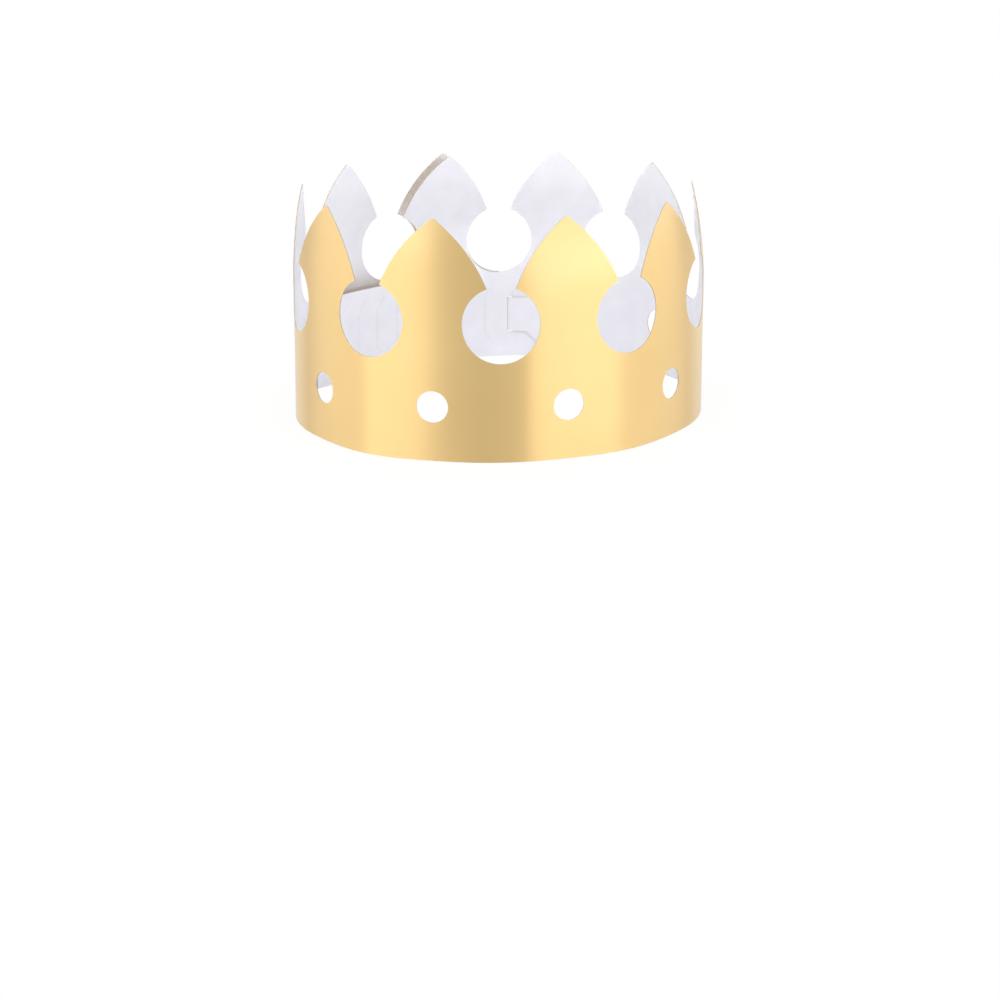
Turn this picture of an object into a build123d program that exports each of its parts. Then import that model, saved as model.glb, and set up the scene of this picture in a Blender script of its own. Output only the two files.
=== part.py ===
"""Paper crown: one die-cut strip of foil-faced card, bent into a ring and locked by its own tongue.

Millimetres, +Z up. The origin is the middle of the ring, on the plane of the bottom edge, and the
middle of the front faces -Y. Lengths along the strip are measured on its outer face, from the end
that carries the tongue to the end of the slit tail.
"""

import os
from math import acos, asin, atan2, cos, degrees, radians, sin, tan

from build123d import *

# Card
card = 0.4
overrun = 0.3  # how far each cut runs clear of the card

# Strip as it is cut
pitch = 51.5  # from one point to the next
crown_height = 91.0
gap_radius = 14.6  # of the round gap between two points
gap_height = 52.0  # middle of that gap above the bottom edge
head_width = 40.4  # of a point, from shoulder to shoulder
side_radius = 59.0  # of a point's bowed sides
tip_radius = 1.2
hole_diameter = 12.0
hole_height = 20.6
tail_length = 69.5  # from the middle of the last point to the end of the tail

# Lock: a tongue on one end, a row of slits in the tail
lock_height = 18.6  # middle of the tongue and of the slits above the bottom edge
neck_height = 15.0
bulb_diameter = 28.0
bulb_reach = 17.5  # from the neck's slit to the middle of the bulb
slit_count = 9
slit_margin = 13.2  # from the last slit to the end of the tail
slit_width = 0.5
slit_step = 4.5  # how far the slanted ends of a slit step back
slit_slant = 6.3  # height of each slanted end
slit_clearance = 0.5  # above and below the neck

# Ring: the card stays flat across each stem and bends under each gap
turn_shares = (71, 66, 74, 86, 63)  # of half the ring, gap by gap; the other half repeats them
front_heading = 4.0  # degrees, of the card across the front gap
lap_clearance = 1.0  # between the outer end of the strip and the tail inside it
tail_lead_turn = 8.5  # degrees that the tail turns away from the outer end
tail_turn = 21.0  # degrees, under the last gap
curl_radius = 230.0  # each point leans inwards along this radius
cross_turn = 40.0  # degrees that the tongue turns to go through its slit
tongue_clearance = 0.5  # between the tongue and the card that it lies on

# Worked out from the sizes above
point_count = 2 * len(turn_shares) + 1
stem_width = pitch - 2 * gap_radius
bend_length = 2 * gap_radius
band_height = gap_height - gap_radius
tail_flat = tail_length - pitch / 2 - gap_radius
shoulder_angle = degrees(acos((pitch - head_width) / 2 / gap_radius))
neck_slit = neck_height + 2 * slit_clearance
slit_height = neck_slit + 2 * slit_slant
lap_turn = degrees(atan2(card + lap_clearance, pitch))
half_turns = [180 * share / sum(turn_shares) for share in turn_shares]
back_turn = half_turns[-1]
ring_turns = [*half_turns, *half_turns]
ring_turns[-2] += lap_turn
ring_turns[-1] += tail_lead_turn


# The card's way round the ring, as lengths along the strip and the turn over each
def steps_between(turns, end_turn):
    """Flats and bends from the middle of the back gap to the middle of a later gap."""
    steps = [(gap_radius, back_turn / 2)]
    for turn in turns:
        steps += [(stem_width, 0), (bend_length, turn)]
    return steps + [(stem_width, 0), (gap_radius, end_turn / 2)]


half_steps = steps_between(half_turns[:-1], back_turn)
ring_steps = steps_between(ring_turns, tail_turn)
tail_steps = [(gap_radius, tail_turn / 2), (tail_flat, 0)]


def lay(at, along, steps, depth=0):
    """Draw flats and bends one after another, at a depth inside the outer face of the card."""
    at += Vector(0, 0, 1).cross(along) * depth
    edges = []
    for length, turn in steps:
        if turn:
            edge = JernArc(at, along, length / radians(turn) - depth, turn)
        else:
            edge = PolarLine(at, length, direction=along)
        at, along = edge @ 1, edge % 1
        edges.append(edge)
    return edges


def lay_section(at, along, steps):
    """Draw the closed thin section of the card along its flats and bends."""
    outer = lay(at, along, steps)
    inner = lay(at, along, steps, card)
    Line(outer[0] @ 0, inner[0] @ 0)
    Line(outer[-1] @ 1, inner[-1] @ 1)


# The ring is the same in both halves, so its middle is half way from the back gap to the front one
back_along = Vector(-1, 0, 0).rotate(Axis.Z, front_heading)
with BuildLine() as half_ring:
    front = lay(Vector(0, 0, 0), back_along, half_steps)[-1] @ 1
strip_end = front / -2
with BuildLine() as ring_line:
    lock_bend = lay(strip_end, back_along, ring_steps)[-3]
ring_path = ring_line.wire()
with BuildLine() as tail_line:
    lay(ring_path @ 1, ring_path % 1, tail_steps)
tail_path = tail_line.wire()

# Places along the strip
gap_places = [count * pitch for count in range(point_count + 1)]
point_places = [(count + 0.5) * pitch for count in range(point_count)]


def station(length):
    """Upright plane on the outer face of the card, with x along the strip and z outwards."""
    on_tail = length > ring_path.length
    path = tail_path if on_tail else ring_path
    length -= ring_path.length if on_tail else 0
    at = path.position_at(length, PositionMode.LENGTH)
    along = path.tangent_at(length, PositionMode.LENGTH)
    return Plane(at, x_dir=along, z_dir=along.cross(Vector(0, 0, 1)))


# Way of the tongue: along the inside of the tail, then out through the first slit to the strip's end
lock_center = lock_bend.arc_center
inner_radius = lock_bend.radius - card - tongue_clearance
end_rise = (strip_end - lock_center).length - inner_radius
end_angle = (lock_bend @ 0 - lock_center).get_angle(strip_end - lock_center)
cross_angle = degrees(end_rise / tan(radians(cross_turn)) / lock_bend.radius)
slit_rise = card / 2 + tongue_clearance
slit_angle = end_angle - cross_angle * (1 - slit_rise / end_rise)
slit_angle += degrees(card / 2 / sin(radians(cross_turn)) / lock_bend.radius)
first_slit = gap_places[-2] - gap_radius + lock_bend.radius * radians(slit_angle)
last_slit = point_places[-1] + tail_length - slit_margin
slit_spacing = (last_slit - first_slit) / (slit_count - 1)
slit_places = [first_slit + count * slit_spacing for count in range(slit_count)]
slit_spread = card / sin(radians(cross_turn)) + card / tan(radians(cross_turn)) + 2 * slit_clearance
tongue_arc = end_angle - cross_angle
tongue_flat = bulb_reach + bulb_diameter / 2 - inner_radius * radians(tongue_arc)
tongue_along = lock_bend % 0
tongue_bend_start = lock_center + (lock_bend @ 0 - lock_center).normalized() * inner_radius

with BuildPart() as tongue:
    with BuildSketch(Plane.XY.offset(lock_height - bulb_diameter / 2)):
        with BuildLine():
            flat = Line(tongue_bend_start - tongue_along * tongue_flat, tongue_bend_start)
            bend = JernArc(flat @ 1, flat % 1, inner_radius, tongue_arc)
            Line(bend @ 1, strip_end)
            offset(amount=card, side=Side.LEFT, kind=Kind.INTERSECTION)
        make_face()
    extrude(amount=bulb_diameter)
    bulb_middle = tongue_bend_start - tongue_along * (tongue_flat - bulb_diameter / 2)
    with BuildSketch(Plane(bulb_middle, x_dir=tongue_along, z_dir=tongue_along.cross(Vector(0, 0, 1)))):
        with Locations((0, lock_height)):
            Circle(bulb_diameter / 2)
            Rectangle(2 * bulb_reach, neck_height, align=(Align.MIN, Align.CENTER))
    extrude(amount=bulb_diameter, both=True, mode=Mode.INTERSECT)

# One point above the middle of the gaps, standing on the XZ plane with its outer face to -Y
lean = degrees(asin((crown_height - gap_height) / curl_radius))
with BuildPart() as point:
    with BuildSketch(Plane.YZ):
        with BuildLine():
            stem = Line((0, band_height), (0, gap_height))
            JernArc(stem @ 1, stem % 1, curl_radius, -lean)
            offset(amount=card, side=Side.RIGHT)
        make_face()
    extrude(amount=head_width / 2, both=True)
    with BuildSketch(Plane.XZ):
        with BuildLine():
            Polyline((0, band_height), (-stem_width / 2, band_height), (-stem_width / 2, gap_height))
            flank = CenterArc((-pitch / 2, gap_height), gap_radius, 0, shoulder_angle)
            RadiusArc(flank @ 1, (0, crown_height), side_radius)
            mirror(about=Plane.YZ)
        make_face()
        fillet(vertices().sort_by(Axis.Y)[-1], tip_radius)
    extrude(amount=crown_height - gap_height, both=True, mode=Mode.INTERSECT)

with BuildPart() as crown_band:
    # Wall of the ring, up to the stems of the points
    with BuildSketch():
        with BuildLine():
            lay_section(strip_end, back_along, ring_steps)
        make_face()
    extrude(amount=gap_height)
    # Lower half of each round gap, as wide as its bend is across
    for place, turn in zip(gap_places, [back_turn, *ring_turns, tail_turn]):
        radius = bend_length / radians(turn)
        with BuildSketch(station(place).offset(overrun)):
            with Locations((0, gap_height)):
                Ellipse(radius * sin(radians(turn / 2)), gap_radius)
        extrude(amount=-radius * (1 - cos(radians(turn / 2))) - card - 2 * overrun, mode=Mode.SUBTRACT)
    # Tail, as high as the bottom of the gaps
    with BuildSketch():
        with BuildLine():
            lay_section(ring_path @ 1, ring_path % 1, tail_steps)
        make_face()
    extrude(amount=band_height)
    # Points
    for place in point_places:
        with Locations(Plane(station(place).origin, x_dir=station(place).x_dir)):
            add(point.part)
    # Punched holes under every point but the last
    with BuildSketch(*[station(place).offset(overrun) for place in point_places[:-1]]):
        with Locations((0, hole_height)):
            Circle(hole_diameter / 2)
    extrude(amount=-card - 2 * overrun, mode=Mode.SUBTRACT)
    # Bracket-shaped slits of the tail, with the first one spread by the tongue
    with BuildSketch(*[station(place).offset(overrun) for place in slit_places]):
        with BuildLine(mode=Mode.PRIVATE) as slit:
            Polyline(
                (-slit_step, lock_height - slit_height / 2),
                (0, lock_height - neck_slit / 2),
                (0, lock_height + neck_slit / 2),
                (-slit_step, lock_height + slit_height / 2),
            )
        trace(slit.line, line_width=slit_width)
    extrude(amount=-card - 3 * overrun, mode=Mode.SUBTRACT)
    with BuildSketch(station(first_slit).offset(overrun)):
        with Locations((0, lock_height)):
            Rectangle(slit_spread, neck_slit)
    extrude(amount=-card - 2 * overrun, mode=Mode.SUBTRACT)
    add(tongue.part)

os.makedirs("parts", exist_ok=True)
crown_band.part.label = "crown_band"
export_step(crown_band.part, "parts/crown_band.step")
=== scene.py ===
"""Gold paper crown: a die-cut strip of foil card, bent round a ring and locked by its own tongue."""

import math

import bpy
import numpy as np
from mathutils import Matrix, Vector
from mathutils.geometry import delaunay_2d_cdt


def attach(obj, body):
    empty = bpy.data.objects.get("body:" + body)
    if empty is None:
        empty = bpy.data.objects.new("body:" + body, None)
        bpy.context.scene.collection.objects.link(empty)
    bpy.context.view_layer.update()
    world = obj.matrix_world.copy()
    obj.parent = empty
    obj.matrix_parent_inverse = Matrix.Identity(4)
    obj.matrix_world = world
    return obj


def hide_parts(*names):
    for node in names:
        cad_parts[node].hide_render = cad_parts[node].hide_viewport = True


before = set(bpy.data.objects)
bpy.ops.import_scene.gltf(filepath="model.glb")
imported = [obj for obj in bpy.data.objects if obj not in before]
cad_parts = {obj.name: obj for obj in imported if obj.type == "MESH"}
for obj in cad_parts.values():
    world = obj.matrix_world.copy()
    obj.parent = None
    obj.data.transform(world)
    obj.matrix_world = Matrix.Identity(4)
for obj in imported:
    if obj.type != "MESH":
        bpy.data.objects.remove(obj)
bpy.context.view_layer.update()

# Sizes of the cut strip, in millimetres along the strip and above its bottom edge
MM = 0.001
CARD = 0.4
PITCH = 51.5  # from one point to the next
CROWN_HEIGHT = 91.0
GAP_RADIUS = 14.6
GAP_HEIGHT = 52.0  # middle of the round gaps
HEAD_WIDTH = 40.4  # of a point, from shoulder to shoulder
SIDE_RADIUS = 59.0  # of a point's bowed sides
TIP_RADIUS = 1.2
HOLE_RADIUS = 6.0
HOLE_HEIGHT = 20.6
PLAIN_POINTS = 9  # before the stretch with the slits
TAIL_LENGTH = 69.5  # from the middle of the last point
TAIL_CORNER = 1.2

# Lock: a tongue on one end of the strip and a row of slits in its tail
LOCK_HEIGHT = 18.6
NECK_HEIGHT = 15.0
BULB_RADIUS = 14.0
BULB_REACH = 17.5  # from the neck's slit to the middle of the bulb
SLIT_COUNT = 9
SLIT_MARGIN = 13.2  # from the last slit to the end of the tail
SLIT_WIDTH = 0.05
SLIT_STEP = 4.5  # how far the slanted ends of a slit step back
SLIT_SLANT = 6.3  # height of each slanted end
SLIT_STRAIGHT = 16.0
OPEN_SLIT = 2.1  # width of the first slit, which the tongue spreads
CROSS_RUN = 6.4  # length of tail along which the tongue goes through
CROSS_RISE = 2.5  # about how far it goes in on that length
TONGUE_DEPTH = 0.5  # between the outer faces of the tail and the tongue

# Bends of the ring, in degrees
HALF_TURNS = (35.5, 33.0, 37.0, 43.0, 31.5)  # gap by gap; the other half repeats them
FRONT_HEADING = 4.0  # of the card across the front gap
LAP_TURN = 1.56  # added, so that the tail passes inside the strip's end
TAIL_LEAD_TURN = 8.5  # added where the tail turns away from the strip's end
TAIL_TURN = 21.0  # under the last gap
STEM_SHARE = 0.25  # of each bend, taken up by the stems beside it

# Way of the card round the ring
WAY_STEP = 0.25  # millimetres from one of its spots to the next
EASE_SPOTS = 33  # over which the change from flat to bend is eased
TONGUE_RUN = 60  # millimetres of way for the tongue

# How far the tip of each point leans in, in millimetres, from the tongue end to the tail
LEANS = (3.3, 2.5, 3.3, 2.1, 2.0, 4.0, 3.3, 5.1, 4.1, 1.5, 6.3)
STEM_EASE = 11  # height over which a stem goes from the ring's bend to its own
WAVINESS = 0.25  # of the card, in millimetres
WAVE_SCALE = 24.0
WAVE_SEED = 3.0

# Spacing of the mesh, in millimetres
GRAIN = 2.0
ROW_SHARE = 0.866  # of the grain, from one row to the next
CLEAR_SHARE = 0.45  # of the grain, kept clear beside a cut
CUT_STEP = 1.6
ARC_STEP = 0.7
HOLE_STEP = 0.6
CORNER_STEP = 0.3
ARC_SPOTS = 4  # at least
NECK_ROW_COUNT = 9
SIDE_ROW_COUNT = 7
WELD = 0.000001
MERGE = 0.01
CRISP_ANGLE = 35  # degrees between faces, past which their edge is sharp

# Worked out from the sizes above
BAND_HEIGHT = GAP_HEIGHT - GAP_RADIUS
STEM_WIDTH = PITCH - 2 * GAP_RADIUS
PLAIN_END = PLAIN_POINTS * PITCH
SLIT_POINT = (PLAIN_POINTS + 0.5) * PITCH
LAST_POINT = (PLAIN_POINTS + 1.5) * PITCH
LAST_GAP = (PLAIN_POINTS + 2) * PITCH
TAIL_END = LAST_POINT + TAIL_LENGTH
SHOULDER = math.degrees(math.acos((PITCH - HEAD_WIDTH) / 2 / GAP_RADIUS))
MEAN_TURN = sum(HALF_TURNS) / len(HALF_TURNS)
HEAD_RADIUS = STEM_WIDTH / math.radians(MEAN_TURN * STEM_SHARE)

# Heights of the mesh rows where one stretch of card joins the next, with a row at each side of the neck
NECK_ROWS = np.linspace(LOCK_HEIGHT - NECK_HEIGHT / 2, LOCK_HEIGHT + NECK_HEIGHT / 2, NECK_ROW_COUNT)
SEAM_ROWS = np.concatenate([
    np.linspace(0, NECK_ROWS[0], SIDE_ROW_COUNT)[:-1],
    NECK_ROWS,
    np.linspace(NECK_ROWS[-1], BAND_HEIGHT, SIDE_ROW_COUNT)[1:],
])

# Finishes
GOLD_DEEP = (0.79, 0.555, 0.235)
GOLD_LIGHT = (0.82, 0.585, 0.258)
CARD_SHADE = (0.825, 0.82, 0.87)
CARD_WHITE = (0.865, 0.86, 0.905)
# Cut edge colours, a painted shade: brown instead of the card's white core, so every cut and slit shows
# as a dark line
EDGE_SHADE_BROWN = (0.36, 0.27, 0.17)
EDGE_SHADE_PALE = (0.62, 0.53, 0.4)
FOIL_GRAIN = (60, 4200, 1)  # grains to the metre, along the strip and across it
PAPER = (0.9, 0.9, 0.9, 1)
ROOM = (0.18, 0.18, 0.18, 1)

# Floor and camera, in metres and degrees
FLOOR_SIDE = 6
FLOOR_BACK = 9
FLOOR_DROP = 0.0002
SHADOW_NEAR = 0.1  # from the middle of the ring, up to which the shadow is strongest
SHADOW_FAR = 0.5  # past which no shadow is left
SHADOW_COVER = 0.92  # share of plain white over the strongest shadow
CAMERA_PLACE = (0, -0.8703, 0.2416)
CAMERA_TILT = 12.035
LENS = 80.25
SENSOR = 36.0
FRAME_SHIFT = -0.2319
SIGHT = 50


def arc(center, radius, start, end, step=ARC_STEP):
    """Spots along an arc, from one angle to another in degrees."""
    count = max(ARC_SPOTS, math.ceil(radius * abs(math.radians(end - start)) / step))
    angles = np.radians(np.linspace(start, end, count))
    return np.column_stack([center[0] + radius * np.cos(angles), center[1] + radius * np.sin(angles)])


def straight(start, end):
    """Spots along a straight cut, without its end."""
    count = max(1, round(math.dist(start, end) / CUT_STEP))
    return np.linspace(start, end, count + 1)[:-1]


def point_cut(middle):
    """Cut line of one point, from the bottom of the gap on its right to the gap on its left."""
    gap = arc((PITCH / 2, GAP_HEIGHT), GAP_RADIUS, 270, 180 - SHOULDER)
    shoulder = gap[-1]
    tip = np.array([0, CROWN_HEIGHT])
    chord = tip - shoulder
    inward = np.array([-chord[1], chord[0]]) / np.linalg.norm(chord)
    reach = math.sqrt(SIDE_RADIUS**2 - (np.linalg.norm(chord) / 2) ** 2)
    center = (shoulder + tip) / 2 + inward * reach
    tip_center = np.array([0, center[1] + math.sqrt((SIDE_RADIUS - TIP_RADIUS) ** 2 - center[0] ** 2)])
    start = math.degrees(math.atan2(*(shoulder - center)[::-1]))
    end = math.degrees(math.atan2(*(tip_center - center)[::-1]))
    side = arc(center, SIDE_RADIUS, start, end)
    top = arc(tip_center, TIP_RADIUS, end, 90, CORNER_STEP)
    right = np.vstack([gap[:-1], side[:-1], top])
    left = right[-2::-1] * (-1, 1)
    return np.vstack([right, left]) + (middle, 0)


def slit_cut(place, opening):
    """Narrow bracket-shaped cut, with its upright part spread as far as the tongue needs."""
    half = SLIT_STRAIGHT / 2
    thin = SLIT_WIDTH / 2
    wide = opening / 2

    def flank(side):
        """Corners of one side of the slit, from the bottom up."""
        foot = (side * thin - SLIT_STEP, -half - SLIT_SLANT)
        lower = [foot, (side * thin, -half), (side * wide, -half)]
        return lower + [(x, -y) for x, y in reversed(lower)]

    corners = flank(1) + flank(-1)[::-1]
    corners = [corner for count, corner in enumerate(corners) if corner != corners[count - 1]]
    cut = [straight(a, b) for a, b in zip(corners, corners[1:] + corners[:1])]
    return np.vstack(cut) + (place, LOCK_HEIGHT)


def inside(spots, loop):
    """Which spots lie inside a closed cut line."""
    ahead = np.roll(loop, -1, axis=0)
    x, y = spots[:, :1], spots[:, 1:]
    crosses = (loop[:, 1] > y) != (ahead[:, 1] > y)
    rise = np.where(ahead[:, 1] == loop[:, 1], 1, ahead[:, 1] - loop[:, 1])
    where = loop[:, 0] + (y - loop[:, 1]) / rise * (ahead[:, 0] - loop[:, 0])
    return (crosses & (x < where)).sum(axis=1) % 2 == 1


def on_card(spots, outline, cuts):
    """Which spots lie inside the outline and in none of the cuts."""
    kept = inside(spots, outline)
    for cut in cuts:
        kept &= ~inside(spots, cut)
    return kept


def flat_card(name, outline, cuts=()):
    """Flat stretch of card as an even mesh, cut along its outline and its inner cuts."""
    loops = [outline, *cuts]
    border = np.vstack(loops)
    low, high = outline.min(axis=0), outline.max(axis=0)
    across = np.arange(low[0] + GRAIN / 2, high[0], GRAIN)
    up = np.arange(low[1] + GRAIN / 2, high[1], GRAIN * ROW_SHARE)
    grid = np.array([(x + GRAIN / 2 * (row % 2), y) for row, y in enumerate(up) for x in across])
    grid = grid[on_card(grid, outline, cuts)]
    clear = [np.hypot(*(border - spot).T).min() > CLEAR_SHARE * GRAIN for spot in grid]
    spots = np.vstack([border, grid[clear]])
    edges = []
    start = 0
    for loop in loops:
        size = len(loop)
        edges += [(start + count, start + (count + 1) % size) for count in range(size)]
        start += size
    points, _, faces, *_ = delaunay_2d_cdt([Vector(spot) for spot in spots], edges, [], 0, WELD)
    places = np.array(points)
    middles = np.array([places[list(face)].mean(axis=0) for face in faces])
    kept = [face for face, stays in zip(faces, on_card(middles, outline, cuts)) if stays]
    mesh = bpy.data.meshes.new(name)
    mesh.from_pydata([(x * MM, y * MM, 0) for x, y in places], [], kept)
    return bpy.data.objects.new(name, mesh)


def ring_way():
    """Way of the card's outer face, its length before the strip's end, and the first slit's place."""
    turns = [HALF_TURNS[-1], *HALF_TURNS, *HALF_TURNS, TAIL_TURN]
    stems = [STEM_SHARE * (before + after) / 2 for before, after in zip(turns, turns[1:])]
    bends = [(1 - STEM_SHARE) * turn for turn in turns]
    bends[-3] += LAP_TURN
    bends[-2] += TAIL_LEAD_TURN
    knots = [0, GAP_RADIUS]
    headings = [0, bends[0] / 2]
    for stem, bend in zip(stems, bends[1:]):
        knots += [knots[-1] + STEM_WIDTH, knots[-1] + PITCH]
        headings += [headings[-1] + stem, headings[-1] + stem + bend]
    knots.append(TAIL_END)
    headings.append(headings[-1])
    lengths = np.arange(0, TAIL_END + WAY_STEP, WAY_STEP)
    heading = np.radians(np.interp(lengths, knots, headings) + 180 + FRONT_HEADING)
    soft = np.ones(EASE_SPOTS) / EASE_SPOTS
    eased = np.convolve(np.pad(heading, EASE_SPOTS // 2, mode="edge"), soft, mode="valid")
    steps = np.column_stack([np.cos(eased), np.sin(eased)])
    way = np.vstack([(0, 0), np.cumsum((steps[1:] + steps[:-1]) / 2 * WAY_STEP, axis=0)])
    way -= way[round(len(HALF_TURNS) * PITCH / WAY_STEP)] / 2
    inward = np.column_stack([-steps[:, 1], steps[:, 0]])
    # The tongue leaves the strip's end, goes through the first slit and lies inside the tail
    late = round(SLIT_POINT / WAY_STEP)
    nearest = late + np.hypot(*(way[late:] - way[0]).T).argmin()
    outside = -np.dot(way[0] - way[nearest], inward[nearest])
    run = np.arange(0, TONGUE_RUN, WAY_STEP)
    ease = np.clip(run / CROSS_RUN, 0, 1)
    depth = -outside + (TONGUE_DEPTH + outside) * ease * ease * (3 - 2 * ease)
    rows = nearest - np.arange(len(run))
    tongue = way[rows] + inward[rows] * depth[:, None]
    tongue += (way[0] - tongue[0]) * (1 - ease)[:, None]
    first_slit = lengths[rows[np.abs(depth).argmin()]]
    lead = np.hypot(*np.diff(tongue, axis=0).T).sum()
    return np.vstack([tongue[:0:-1], way]), lead, first_slit


def feed(tree, node, inputs):
    """Link or set inputs of a node."""
    for key, value in dict(inputs).items():
        if isinstance(value, bpy.types.NodeSocket):
            tree.links.new(value, node.inputs[key])
        else:
            node.inputs[key].default_value = value


def put(tree, kind, inputs=(), **settings):
    """New node with its settings and inputs."""
    node = tree.nodes.new(kind)
    for name, value in settings.items():
        setattr(node, name, value)
    feed(tree, node, inputs)
    return node


def made(tree, kind, inputs=(), **settings):
    """First output of a new node."""
    return put(tree, kind, inputs, **settings).outputs[0]


def sum_of(tree, operation, first, second=0.0, third=0.0):
    """Output of a Math node."""
    return made(tree, "ShaderNodeMath", {0: first, 1: second, 2: third}, operation=operation)


def scaled(tree, vector, amount):
    """Vector times a number."""
    return made(tree, "ShaderNodeVectorMath", {0: vector, "Scale": amount}, operation="SCALE")


def plus(tree, first, *others):
    """Vectors added one after another."""
    for other in others:
        first = made(tree, "ShaderNodeVectorMath", {0: first, 1: other}, operation="ADD")
    return first


def stock(tree, given, name):
    """Geometry of an object that the tree is given."""
    return put(tree, "GeometryNodeObjectInfo", {"Object": given[name]}).outputs["Geometry"]


def joined(tree, *parts):
    """Stretches of card in one geometry, welded where they meet."""
    join = put(tree, "GeometryNodeJoinGeometry")
    for part in parts:
        tree.links.new(part, join.inputs[0])
    whole = made(tree, "GeometryNodeRealizeInstances", {"Geometry": join.outputs[0]})
    return made(tree, "GeometryNodeMergeByDistance", {"Geometry": whole, "Distance": MERGE * MM})


def marked(tree, geometry, name, value, kind, domain):
    """Geometry that keeps a value under a name."""
    inputs = {"Geometry": geometry, "Name": name, "Value": value}
    return made(tree, "GeometryNodeStoreNamedAttribute", inputs, data_type=kind, domain=domain)


def flat_strip(tree, given):
    """Flat strip: plain points in a row, then the stretch with the slits, with the tongue in front."""
    half = sum_of(tree, "MULTIPLY", given["Pitch"], 0.5)
    start = made(tree, "ShaderNodeCombineXYZ", {"X": half})
    onward = made(tree, "ShaderNodeCombineXYZ", {"X": given["Pitch"]})
    inputs = {"Count": given["Plain points"], "Start Location": start, "Offset": onward}
    row = made(tree, "GeometryNodeMeshLine", inputs)
    inputs = {"Points": row, "Instance": stock(tree, given, "Point card")}
    points = made(tree, "GeometryNodeInstanceOnPoints", inputs)
    strip = joined(tree, stock(tree, given, "Tongue card"), stock(tree, given, "Tail card"), points)
    flat = made(tree, "GeometryNodeInputPosition")
    return marked(tree, strip, "strip", flat, "FLOAT2", "CORNER")


def thick_card(tree, given, strip):
    """Closed shell of card, with its white face and its cut edges drawn out of the foil face."""
    through = made(tree, "ShaderNodeCombineXYZ", {"Z": -1.0})
    inputs = {"Mesh": strip, "Offset": through, "Offset Scale": given["Card"], "Individual": False}
    drawn = put(tree, "GeometryNodeExtrudeMesh", inputs).outputs
    shell = marked(tree, drawn["Mesh"], "white face", drawn["Top"], "BOOLEAN", "FACE")
    shell = marked(tree, shell, "cut edge", drawn["Side"], "BOOLEAN", "FACE")
    foil_face = made(tree, "GeometryNodeFlipFaces", {"Mesh": strip})
    shell = joined(tree, foil_face, shell)
    return made(tree, "GeometryNodeFlipFaces", {"Mesh": shell})


def bent_card(tree, given, shell):
    """Bent card: the band follows the ring's way, and each head stands straight up from its stem."""
    flat = made(tree, "GeometryNodeInputPosition")
    place = put(tree, "ShaderNodeSeparateXYZ", {0: flat}).outputs
    upward = made(tree, "ShaderNodeCombineXYZ", {"Z": place["Y"]})
    way = stock(tree, given, "Ring way")
    lean_there = made(tree, "GeometryNodeInputRadius")

    def on_way(length):
        """Spot on the way, the directions along it and inwards, and the lean of the point there."""
        length = sum_of(tree, "ADD", length, given["Way lead"])
        inputs = {"Curves": way, "Value": lean_there, "Length": length}
        spot = put(tree, "GeometryNodeSampleCurve", inputs, mode="LENGTH").outputs
        across = {0: (0, 0, 1), 1: spot["Tangent"]}
        inward = made(tree, "ShaderNodeVectorMath", across, operation="CROSS_PRODUCT")
        return spot["Position"], spot["Tangent"], inward, spot[0]

    # Depth inside the outer face, with the waviness of the card
    inputs = {"Vector": flat, "W": given["Wave seed"], "Scale": WAVE_SCALE, "Detail": 1.0}
    wave = made(tree, "ShaderNodeTexNoise", inputs, noise_dimensions="4D")
    wave = sum_of(tree, "SUBTRACT", wave, 0.5)
    depth = sum_of(tree, "MULTIPLY", place["Z"], -1)
    depth = sum_of(tree, "MULTIPLY_ADD", wave, given["Waviness"], depth)

    # Band
    at, _, inward, _ = on_way(place["X"])
    band = plus(tree, at, upward, scaled(tree, inward, depth))

    # Head, bowed across and leaning in towards its tip
    count = sum_of(tree, "FLOOR", sum_of(tree, "DIVIDE", place["X"], given["Pitch"]))
    half = sum_of(tree, "MULTIPLY", given["Pitch"], 0.5)
    middle = sum_of(tree, "MULTIPLY_ADD", count, given["Pitch"], half)
    beside = sum_of(tree, "SUBTRACT", place["X"], middle)
    across = sum_of(tree, "MULTIPLY", given["Head radius"], 2.0)
    bow = sum_of(tree, "DIVIDE", sum_of(tree, "MULTIPLY", beside, beside), across)
    above = sum_of(tree, "MAXIMUM", sum_of(tree, "SUBTRACT", place["Y"], given["Gap height"]), 0.0)
    rise = sum_of(tree, "POWER", sum_of(tree, "DIVIDE", above, given["Tip rise"]), 2.0)
    at, along, inward, tip_lean = on_way(middle)
    lean = sum_of(tree, "MULTIPLY_ADD", rise, tip_lean, sum_of(tree, "ADD", bow, depth))
    head = plus(tree, at, upward, scaled(tree, along, beside), scaled(tree, inward, lean))

    # Stem, which goes over from one to the other
    low = sum_of(tree, "SUBTRACT", given["Gap height"], given["Stem ease"])
    inputs = {"Value": place["Y"], "From Min": low, "From Max": given["Gap height"]}
    share = made(tree, "ShaderNodeMapRange", inputs, interpolation_type="SMOOTHSTEP")
    # In a Mix node, inputs 4 and 5 and output 1 are the vectors
    bent = put(tree, "ShaderNodeMix", {0: share, 4: band, 5: head}, data_type="VECTOR").outputs[1]
    return made(tree, "GeometryNodeSetPosition", {"Geometry": shell, "Position": bent})


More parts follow.
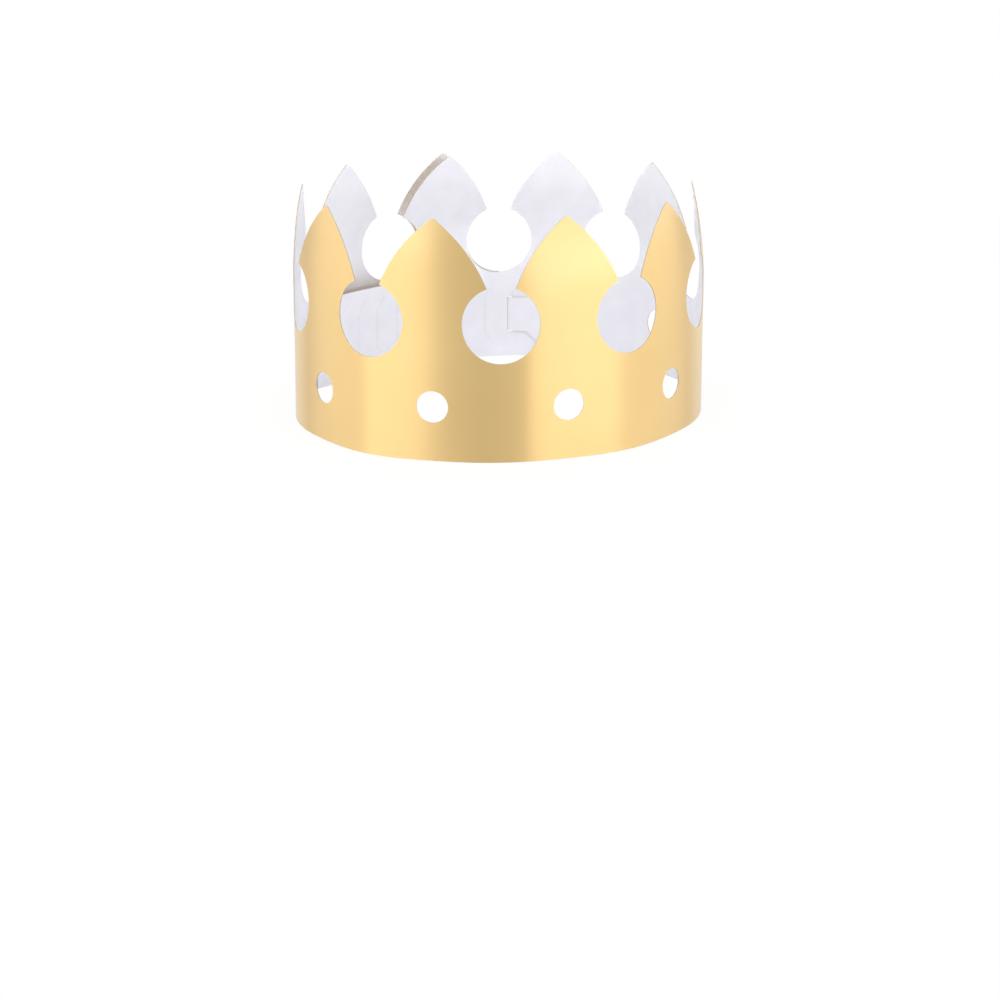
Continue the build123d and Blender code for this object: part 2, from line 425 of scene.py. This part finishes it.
def finished_card(tree, given, shell):
    """Smooth faces with crisp cut edges, then the three finishes."""
    shell = made(tree, "GeometryNodeSetShadeSmooth", {"Geometry": shell, "Shade Smooth": True})
    angle = made(tree, "GeometryNodeInputMeshEdgeAngle")
    limit = math.radians(CRISP_ANGLE)
    crisp = made(tree, "FunctionNodeCompare", {0: angle, 1: limit}, operation="GREATER_THAN")
    inputs = {"Geometry": shell, "Selection": crisp, "Shade Smooth": False}
    shell = made(tree, "GeometryNodeSetShadeSmooth", inputs, domain="EDGE")
    shell = made(tree, "GeometryNodeRealizeInstances", {"Geometry": shell})
    shell = made(tree, "GeometryNodeSetMaterial", {"Geometry": shell, "Material": given["Foil"]})
    for name, finish in (("white face", "White face"), ("cut edge", "Cut edge")):
        chosen = made(tree, "GeometryNodeInputNamedAttribute", {"Name": name}, data_type="BOOLEAN")
        inputs = {"Geometry": shell, "Selection": chosen, "Material": given[finish]}
        shell = made(tree, "GeometryNodeSetMaterial", inputs)
    return shell


def crown_tree(settings):
    """Tree that repeats the points along the strip, gives the card its thickness and bends it."""
    tree = bpy.data.node_groups.new("bent crown card", "GeometryNodeTree")
    kinds = {bpy.types.Object: "Object", bpy.types.Material: "Material", int: "Int"}
    for name, value in settings.items():
        kind = kinds.get(type(value), "Float")
        tree.interface.new_socket(name, in_out="INPUT", socket_type=f"NodeSocket{kind}")
    tree.interface.new_socket("Geometry", in_out="OUTPUT", socket_type="NodeSocketGeometry")
    given = put(tree, "NodeGroupInput").outputs
    shell = thick_card(tree, given, flat_strip(tree, given))
    shell = finished_card(tree, given, bent_card(tree, given, shell))
    put(tree, "NodeGroupOutput", {0: shell})
    return tree


def noise(tree, where, scale, detail, distortion=0.0):
    """Output of a Noise Texture node."""
    inputs = {"Vector": where, "Scale": scale, "Detail": detail, "Distortion": distortion}
    return made(tree, "ShaderNodeTexNoise", inputs)


def two_tone(tree, value, low, first, high, last):
    """Colour that goes from the first at a low value to the last at a high one."""
    ramp = put(tree, "ShaderNodeValToRGB", {"Fac": value})
    for stop, place, color in zip(ramp.color_ramp.elements, (low, high), (first, last)):
        stop.position = place
        stop.color = (*color, 1)
    return ramp.outputs[0]


def spread(tree, value, low, high):
    """Value from 0 to 1, spread from low to high."""
    return made(tree, "ShaderNodeMapRange", {"Value": value, "To Min": low, "To Max": high})


def relief(tree, height, strength, distance):
    """Normal of a fine relief."""
    return made(tree, "ShaderNodeBump", {"Strength": strength, "Distance": distance, "Height": height})


def finish_material(name):
    """New material with its node tree and its main shader."""
    material = bpy.data.materials.new(name)
    material.use_nodes = True
    return material, material.node_tree, material.node_tree.nodes["Principled BSDF"]


def gold_foil():
    """Bright rolled foil: a fine grain along the strip spreads its reflections up and down."""
    material, tree, shader = finish_material("gold foil")
    strip = put(tree, "ShaderNodeAttribute", attribute_name="strip").outputs["Vector"]
    cloud = noise(tree, strip, scale=18.0, detail=2.0)
    along = made(tree, "ShaderNodeMapping", {"Vector": strip, "Scale": FOIL_GRAIN})
    grain = noise(tree, along, scale=1.0, detail=3.0)
    peel = noise(tree, strip, scale=650.0, detail=2.0)
    feed(tree, shader, {
        "Base Color": two_tone(tree, cloud, low=0.35, first=GOLD_DEEP, high=0.68, last=GOLD_LIGHT),
        "Roughness": spread(tree, grain, low=0.38, high=0.44),
        "Normal": relief(tree, peel, strength=0.04, distance=0.0002),
        "Tangent": made(tree, "ShaderNodeTangent", direction_type="RADIAL", axis="Z"),
        "Metallic": 1.0,
        "Anisotropic": 0.92,
        "Anisotropic Rotation": 0.25,
        "Coat Weight": 0.4,
        "Coat Roughness": 0.2,
    })
    return material


def white_face():
    """Uncoated white back of the card, with a faint mottle of fibres."""
    material, tree, shader = finish_material("white card")
    strip = put(tree, "ShaderNodeAttribute", attribute_name="strip").outputs["Vector"]
    cloud = noise(tree, strip, scale=120.0, detail=4.0)
    fibres = noise(tree, strip, scale=2200.0, detail=3.0, distortion=1.0)
    feed(tree, shader, {
        "Base Color": two_tone(tree, cloud, low=0.3, first=CARD_SHADE, high=0.7, last=CARD_WHITE),
        "Roughness": spread(tree, fibres, low=0.5, high=0.7),
        "Normal": relief(tree, fibres, strength=0.12, distance=0.0001),
        "Specular IOR Level": 0.3,
    })
    return material


def shaded_cut_edge():
    """Die-cut edge in painted shade: a brown line between foil and white that darkens every cut and
    slit, where the card's core is white.
    """
    material, tree, shader = finish_material("die-cut edge")
    where = put(tree, "ShaderNodeTexCoord").outputs["Object"]
    fibres = noise(tree, where, scale=900.0, detail=3.0)
    feed(tree, shader, {
        "Base Color": two_tone(tree, fibres, low=0, first=EDGE_SHADE_BROWN, high=1, last=EDGE_SHADE_PALE),
        "Normal": relief(tree, fibres, strength=0.3, distance=0.0001),
        "Roughness": 0.75,
    })
    return material


def white_sweep():
    """White paper that is seen as plain white, and keeps a faint shadow near the crown."""
    material, tree, shader = finish_material("white sweep")
    tree.nodes.remove(shader)
    rays = put(tree, "ShaderNodeLightPath").outputs
    seen = sum_of(tree, "MAXIMUM", rays["Is Glossy Ray"], rays["Is Transmission Ray"])
    seen = sum_of(tree, "MAXIMUM", rays["Is Camera Ray"], seen)
    where = put(tree, "ShaderNodeTexCoord").outputs["Object"]
    away = put(tree, "ShaderNodeVectorMath", {0: where}, operation="LENGTH").outputs["Value"]
    inputs = {"Value": away, "From Min": SHADOW_NEAR, "From Max": SHADOW_FAR, "To Min": SHADOW_COVER}
    seen = sum_of(tree, "MULTIPLY", seen, made(tree, "ShaderNodeMapRange", inputs))
    matt = made(tree, "ShaderNodeBsdfDiffuse", {"Color": PAPER})
    white = made(tree, "ShaderNodeEmission", {"Color": (1, 1, 1, 1), "Strength": 1.0})
    mixed = made(tree, "ShaderNodeMixShader", {0: seen, 1: matt, 2: white})
    feed(tree, tree.nodes["Material Output"], {"Surface": mixed})
    return material


def soft_sheet(name, width, depth, level, place, turn):
    """Sheet of soft light, with a level that doesn't change with its size."""
    lamp = bpy.data.lights.new(name, "AREA")
    lamp.shape = "RECTANGLE"
    lamp.size = width
    lamp.size_y = depth
    lamp.energy = level * math.pi * width * depth
    sheet = bpy.data.objects.new(name, lamp)
    sheet.location = place
    sheet.rotation_euler = turn
    bpy.context.scene.collection.objects.link(sheet)


def soft_wall(name, angle, width, height, level, away=1.3):
    """Upright sheet of light beside the crown, at an angle from the front towards the left."""
    turn = math.radians(angle)
    place = (-away * math.sin(turn), -away * math.cos(turn), height / 2)
    soft_sheet(name, width, height, level, place, (math.radians(90), 0, -turn))


def soft_roof(name, back, level, width=1.6, depth=0.8, above=1.6):
    """Sheet of light over the crown, tipped towards it from the front or from the back."""
    tip = -math.atan2(back, above - CROWN_HEIGHT / 2 * MM)
    soft_sheet(name, width, depth, level, (0, back, above), (tip, 0, 0))


# Flat stretches of the strip, cut before bending
right_seam = np.column_stack([np.full(len(SEAM_ROWS), PITCH / 2), SEAM_ROWS])
left_seam = right_seam[::-1] * (-1, 1)
hole = arc((0, HOLE_HEIGHT), HOLE_RADIUS, 0, 360, HOLE_STEP)[:-1]
point_outline = np.vstack([
    straight((-PITCH / 2, 0), (PITCH / 2, 0)),
    right_seam[:-1],
    point_cut(0)[:-1],
    left_seam[:-1],
])
point_card = flat_card("point card", point_outline, [hole])

way, lead, first_slit = ring_way()
slit_places = np.linspace(first_slit, TAIL_END - SLIT_MARGIN, SLIT_COUNT)
slits = [slit_cut(slit_places[0], OPEN_SLIT)]
slits += [slit_cut(place, SLIT_WIDTH) for place in slit_places[1:]]
corner_center = (TAIL_END - TAIL_CORNER, BAND_HEIGHT - TAIL_CORNER)
tail_outline = np.vstack([
    straight((PLAIN_END, 0), (TAIL_END, 0)),
    straight((TAIL_END, 0), (TAIL_END, corner_center[1])),
    arc(corner_center, TAIL_CORNER, 0, 90, CORNER_STEP)[:-1],
    straight((corner_center[0], BAND_HEIGHT), (LAST_GAP, BAND_HEIGHT)),
    point_cut(LAST_POINT)[:-1],
    point_cut(SLIT_POINT)[:-1],
    left_seam[:-1] + (SLIT_POINT, 0),
])
tail_card = flat_card("tail card", tail_outline, [hole + (SLIT_POINT, 0), *slits])

bulb = np.array([-math.hypot(CROSS_RUN, CROSS_RISE) - BULB_REACH, LOCK_HEIGHT])
neck_angle = math.degrees(math.asin(NECK_HEIGHT / 2 / BULB_RADIUS))
rim = arc(bulb, BULB_RADIUS, neck_angle, 360 - neck_angle)
tongue_outline = np.vstack([
    straight(rim[-1], (0, NECK_ROWS[0])),
    np.column_stack([np.zeros(NECK_ROW_COUNT), NECK_ROWS])[:-1],
    straight((0, NECK_ROWS[-1]), rim[0]),
    rim[:-1],
])
tongue_card = flat_card("tongue card", tongue_outline)

# Way of the ring, with the lean of the point that stands there as its radius
along = np.append(0, np.cumsum(np.hypot(*np.diff(way, axis=0).T))) - lead
under = np.clip(along // PITCH, 0, len(LEANS) - 1).astype(int)
spots = np.column_stack([way * MM, np.zeros(len(way)), np.ones(len(way))])
curve = bpy.data.curves.new("ring way", "CURVE")
curve.dimensions = "3D"
spline = curve.splines.new("POLY")
spline.points.add(len(way) - 1)
spline.points.foreach_set("radius", np.take(LEANS, under) * MM)
spline.points.foreach_set("co", spots.ravel())
ring_curve = bpy.data.objects.new("ring way", curve)

# Bent crown as one closed mesh
helpers = [point_card, tail_card, tongue_card, ring_curve]
bender = bpy.data.objects.new("bender", bpy.data.meshes.new("bender"))
for thing in [*helpers, bender]:
    bpy.context.scene.collection.objects.link(thing)
settings = {
    "Point card": point_card,
    "Tail card": tail_card,
    "Tongue card": tongue_card,
    "Ring way": ring_curve,
    "Plain points": PLAIN_POINTS,
    "Pitch": PITCH * MM,
    "Card": CARD * MM,
    "Gap height": GAP_HEIGHT * MM,
    "Stem ease": STEM_EASE * MM,
    "Head radius": HEAD_RADIUS * MM,
    "Tip rise": (CROWN_HEIGHT - GAP_HEIGHT) * MM,
    "Way lead": lead * MM,
    "Waviness": WAVINESS * MM,
    "Wave seed": WAVE_SEED,
    "Foil": gold_foil(),
    "White face": white_face(),
    "Cut edge": shaded_cut_edge(),
}
tree = crown_tree(settings)
modifier = bender.modifiers.new("bent crown card", "NODES")
modifier.node_group = tree
sockets = {item.name: item.identifier for item in tree.interface.items_tree if item.in_out == "INPUT"}
for name, value in settings.items():
    modifier[sockets[name]] = value
depsgraph = bpy.context.evaluated_depsgraph_get()
card = bpy.data.meshes.new_from_object(bender.evaluated_get(depsgraph), depsgraph=depsgraph)
card.name = "crown card"
for thing in [*helpers, bender]:
    bpy.data.objects.remove(thing)
crown = bpy.data.objects.new("crown_card", card)
bpy.context.scene.collection.objects.link(crown)
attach(crown, "root")
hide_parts("crown_band")

# Soft studio light
soft_wall("left wall", angle=71, width=2.6, height=0.36, level=2.95)
soft_wall("left band", angle=48, width=1.0, height=0.2, level=3.4)
soft_wall("left fill", angle=21, width=0.5, height=0.7, level=0.16)
soft_wall("right wall", angle=-71, width=2.7, height=0.36, level=2.95)
soft_wall("right band", angle=-46, width=1.0, height=0.2, level=3.8)
soft_wall("right fill", angle=-16, width=0.4, height=0.7, level=0.16)
soft_wall("back left band", angle=140, width=0.8, height=0.4, level=1.2)
soft_wall("back right band", angle=-140, width=0.8, height=0.4, level=1.2)
soft_roof("front roof", back=-0.55, level=5.3)
soft_roof("back roof", back=0.7, level=3.0)

world = bpy.data.worlds.new("studio")
bpy.context.scene.world = world
world.use_nodes = True
feed(world.node_tree, world.node_tree.nodes["Background"], {"Color": ROOM, "Strength": 1.0})

# Floor
corners = [(-FLOOR_SIDE, -FLOOR_SIDE, 0), (FLOOR_SIDE, -FLOOR_SIDE, 0)]
corners += [(FLOOR_SIDE, FLOOR_BACK, 0), (-FLOOR_SIDE, FLOOR_BACK, 0)]
floor_mesh = bpy.data.meshes.new("floor")
floor_mesh.from_pydata(corners, [], [(0, 1, 2, 3)])
floor_mesh.materials.append(white_sweep())
floor = bpy.data.objects.new("floor", floor_mesh)
floor.location.z = -FLOOR_DROP
bpy.context.scene.collection.objects.link(floor)

# Camera at the photograph's viewing angle
lens = bpy.data.cameras.new("camera")
lens.lens = LENS
lens.sensor_width = SENSOR
lens.shift_y = FRAME_SHIFT
lens.clip_end = SIGHT
camera = bpy.data.objects.new("camera", lens)
camera.location = CAMERA_PLACE
camera.rotation_euler = (math.radians(90 - CAMERA_TILT), 0, 0)
bpy.context.scene.collection.objects.link(camera)
bpy.context.scene.camera = camera

bpy.context.scene.view_settings.view_transform = "Standard"
